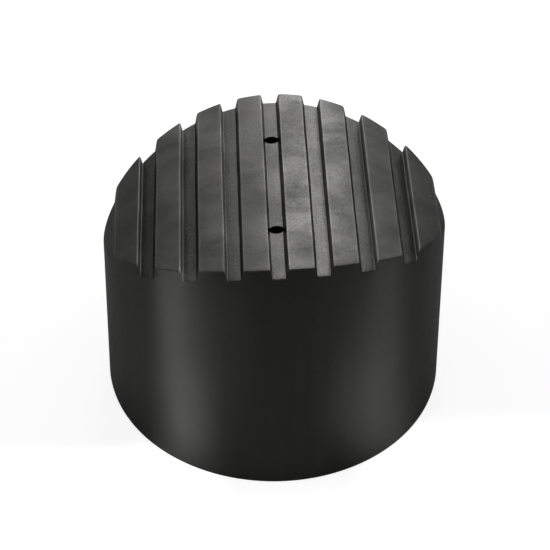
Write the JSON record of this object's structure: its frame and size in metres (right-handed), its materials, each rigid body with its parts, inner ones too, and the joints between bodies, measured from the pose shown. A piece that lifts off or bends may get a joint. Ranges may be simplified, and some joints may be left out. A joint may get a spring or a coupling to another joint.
{
  "type": "rubber foot",
  "caption": "Round black rubber foot for a tubular leg: a deep cup with a raked, crowned tread of straight ribs and two vents in the middle groove.",
  "frame": {"origin": "middle of the open rim, in the plane of the rim's flat face", "axes": "+Z along the socket's axis from the rim to the tread, +Y along the ribs from the high front edge of the tread to its low rear edge, +X to the side where the tread is a little higher"},
  "size_m": [0.05, 0.05, 0.043],
  "materials": {
    "rubber": "matte"
  },
  "bodies": {
    "root": {"rubber_foot": "rubber"}
  },
  "joints": []
}
